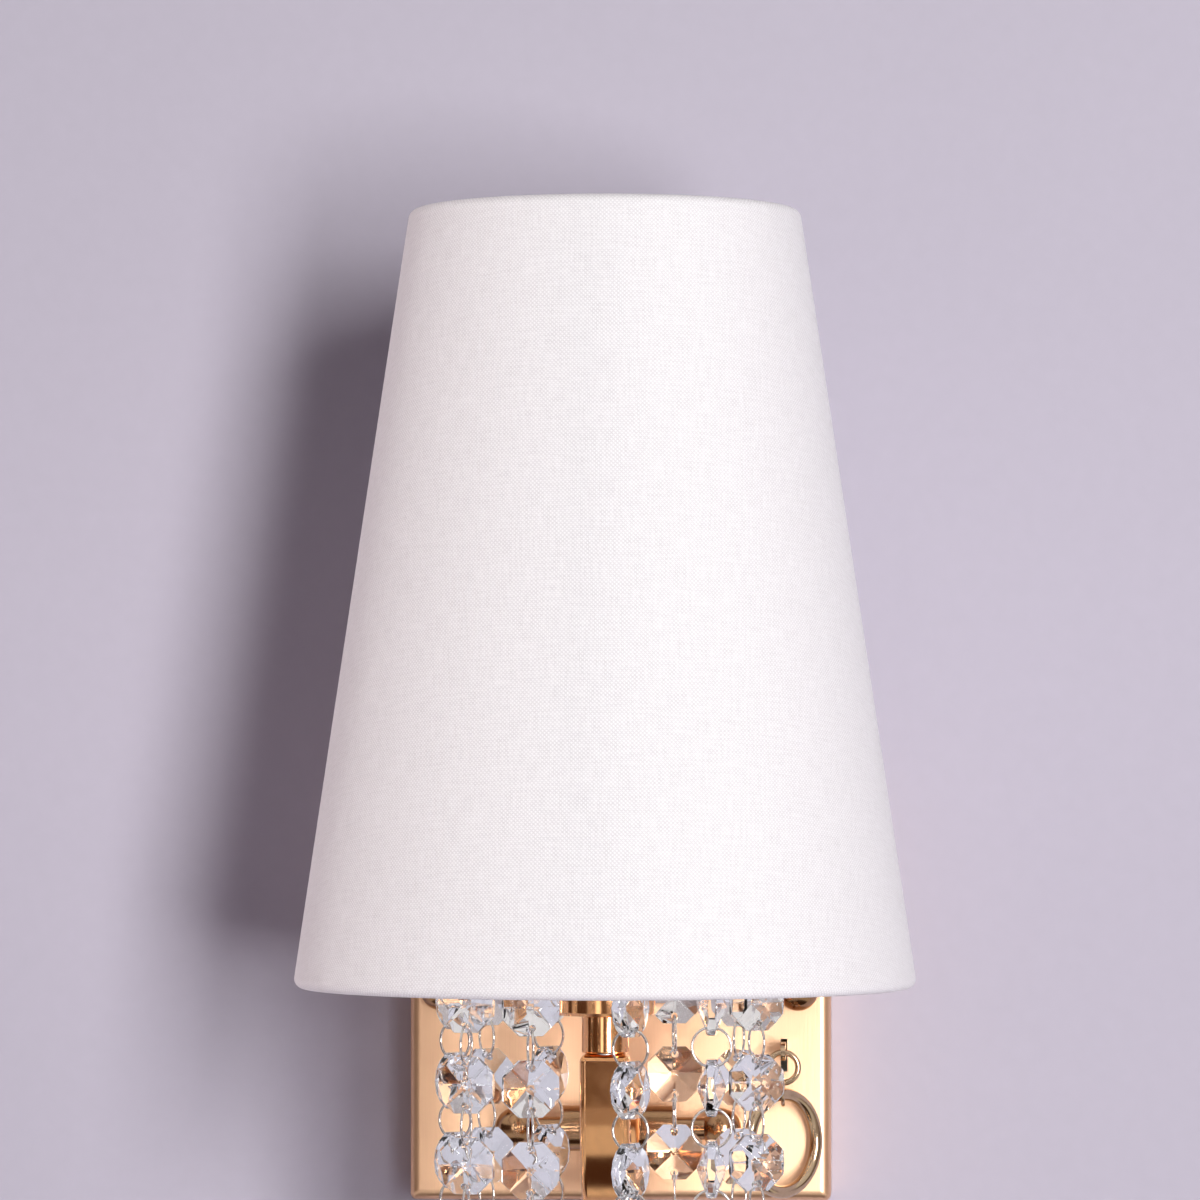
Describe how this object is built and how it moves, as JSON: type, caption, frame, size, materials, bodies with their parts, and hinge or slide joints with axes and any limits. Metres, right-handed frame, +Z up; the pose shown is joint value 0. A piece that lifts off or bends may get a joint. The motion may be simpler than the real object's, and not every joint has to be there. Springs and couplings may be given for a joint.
{
  "type": "wall sconce",
  "caption": "Wall light with a tapered linen shade on an upswept arm, hung all round with crystal strings, and worked by a pull ring.",
  "frame": {"origin": "centre of the square wall plate's back, on the wall, which is also the middle of the bracket's two wall-screw slots", "axes": "+X to the right along the wall, -Y out into the room, +Z up"},
  "size_m": [0.156, 0.178, 0.2844],
  "materials": {
    "satin_gold": "satin",
    "pull_brass": "polished",
    "chrome": "polished",
    "zinc_steel": "zinc plated",
    "tinned_brass": "tinned",
    "black_rubber": "matt",
    "white_plastic": "moulded",
    "lampholder_white": "moulded",
    "porcelain": "glazed",
    "contact_brass": "plain",
    "solder": "plain",
    "black_glass": "gloss",
    "cap_metal": "plain",
    "opal_glass": "opal",
    "linen": "fine linen weave",
    "shade_liner": "white film",
    "white_wire": "powder coated",
    "blue_wire": "insulation",
    "brown_wire": "insulation",
    "green_yellow_wire": "insulation",
    "crystal": "clear cut"
  },
  "bodies": {
    "fixture": {"wall_bracket": "zinc_steel", "cable_grommet": "black_rubber", "fixing_studs": "zinc_steel", "ball_cap_nuts": "satin_gold", "backplate": "satin_gold", "terminal_block": "white_plastic", "terminal_screws": "zinc_steel", "earth_tag": "tinned_brass", "earth_screw": "zinc_steel", "switch_body": "white_plastic", "crossbar": "satin_gold", "root_tube": "zinc_steel", "root_lock_nut": "zinc_steel", "arm": "satin_gold", "neck": "satin_gold", "cup": "satin_gold", "top_tube": "zinc_steel", "lampholder_base": "lampholder_white", "lampholder_skirt": "lampholder_white", "lampholder_insert": "porcelain", "centre_contact": "contact_brass", "screw_shell": "contact_brass", "shade_rings": "lampholder_white", "crystal_hoop": "chrome", "wire_neutral": "blue_wire", "wire_switched": "brown_wire", "wire_supply": "brown_wire", "wire_earth": "green_yellow_wire"},
    "shade": {"shade_cover": "linen", "shade_liner": "shade_liner", "shade_top_ring": "white_wire", "shade_frame": "white_wire"},
    "bulb_foot": {"bulb_tip": "solder"},
    "bulb": {"bulb_insulator": "black_glass", "bulb_cap": "cap_metal", "bulb_glass": "opal_glass"},
    "tongue": {"pull_tongue": "pull_brass"},
    "links": {"upper_link": "pull_brass", "lower_link": "pull_brass"},
    "pull_ring": {"ring_pull": "pull_brass"},
    "string_a": {"crystals_a": "crystal", "rings_a": "chrome"},
    "string_b": {"crystals_b": "crystal", "rings_b": "chrome"},
    "string_c": {"crystals_c": "crystal", "rings_c": "chrome"},
    "string_d": {"crystals_d": "crystal", "rings_d": "chrome"},
    "string_e": {"crystals_e": "crystal", "rings_e": "chrome"},
    "string_f": {"crystals_f": "crystal", "rings_f": "chrome"},
    "string_g": {"crystals_g": "crystal", "rings_g": "chrome"},
    "string_h": {"crystals_h": "crystal", "rings_h": "chrome"},
    "string_i": {"crystals_i": "crystal", "rings_i": "chrome"},
    "string_j": {"crystals_j": "crystal", "rings_j": "chrome"}
  },
  "joints": [
    {"name": "shade_turn", "type": "hinge", "parent": "fixture", "child": "shade", "pos_m": [0, -0.1, 0.049], "axis": [0, 0, 1], "continuous": true},
    {"name": "bulb_rise", "type": "slide", "parent": "fixture", "child": "bulb_foot", "axis": [0, 0, 1], "range_m": [0, 0.00846]},
    {"name": "bulb_turn", "type": "hinge", "parent": "bulb_foot", "child": "bulb", "pos_m": [0, -0.1, 0.04], "axis": [0, 0, 1], "range_deg": [0, 1080]},
    {"name": "pull_slide", "type": "slide", "parent": "fixture", "child": "tongue", "axis": [0, 0, -1], "range_m": [0, 0.003], "stiffness_N_per_m": 600, "springref_m": -0.002},
    {"name": "link_swing", "type": "hinge", "parent": "tongue", "child": "links", "pos_m": [0.0432, -0.031, -0.0157], "axis": [-1, 0, 0], "range_deg": [-3, 40]},
    {"name": "ring_swing", "type": "hinge", "parent": "links", "child": "pull_ring", "pos_m": [0.0432, -0.031, -0.02675], "axis": [0.6691, 0.7431, 0], "range_deg": [-15, 9]},
    {"name": "string_a_swing", "type": "hinge", "parent": "fixture", "child": "string_a", "pos_m": [-0.03355, -0.11784, 0.01315], "axis": [-0.4695, 0.8829, 0], "range_deg": [-4, 9]},
    {"name": "string_b_swing", "type": "hinge", "parent": "fixture", "child": "string_b", "pos_m": [-0.01666, -0.13415, 0.01315], "axis": [-0.8988, 0.4384, 0], "range_deg": [-4, 9]},
    {"name": "string_c_swing", "type": "hinge", "parent": "fixture", "child": "string_c", "pos_m": [0.0079, -0.13717, 0.01315], "axis": [-0.9781, -0.2079, 0], "range_deg": [-4, 9]},
    {"name": "string_d_swing", "type": "hinge", "parent": "fixture", "child": "string_d", "pos_m": [0.02734, -0.1264, 0.01315], "axis": [-0.6947, -0.7193, 0], "range_deg": [-4, 9]},
    {"name": "string_e_swing", "type": "hinge", "parent": "fixture", "child": "string_e", "pos_m": [0.03785, -0.10331, 0.01315], "axis": [-0.0872, -0.9962, 0], "range_deg": [-4, 9]},
    {"name": "string_f_swing", "type": "hinge", "parent": "fixture", "child": "string_f", "pos_m": [0.03291, -0.081, 0.01315], "axis": [0.5, -0.866, 0], "range_deg": [-4, 9]},
    {"name": "string_g_swing", "type": "hinge", "parent": "fixture", "child": "string_g", "pos_m": [0.01606, -0.06556, 0.01315], "axis": [0.9063, -0.4226, 0], "range_deg": [-4, 9]},
    {"name": "string_h_swing", "type": "hinge", "parent": "fixture", "child": "string_h", "pos_m": [-0.01606, -0.06556, 0.01315], "axis": [0.9063, 0.4226, 0], "range_deg": [-4, 9]},
    {"name": "string_i_swing", "type": "hinge", "parent": "fixture", "child": "string_i", "pos_m": [-0.03113, -0.0782, 0.01315], "axis": [0.5736, 0.8192, 0], "range_deg": [-4, 9]},
    {"name": "string_j_swing", "type": "hinge", "parent": "fixture", "child": "string_j", "pos_m": [-0.03785, -0.09669, 0.01315], "axis": [0.0872, 0.9962, 0], "range_deg": [-4, 9]}
  ],
  "couplings": [
    {"joint": "bulb_turn", "follows": "bulb_rise", "rad_per_m": 2228.2}
  ]
}
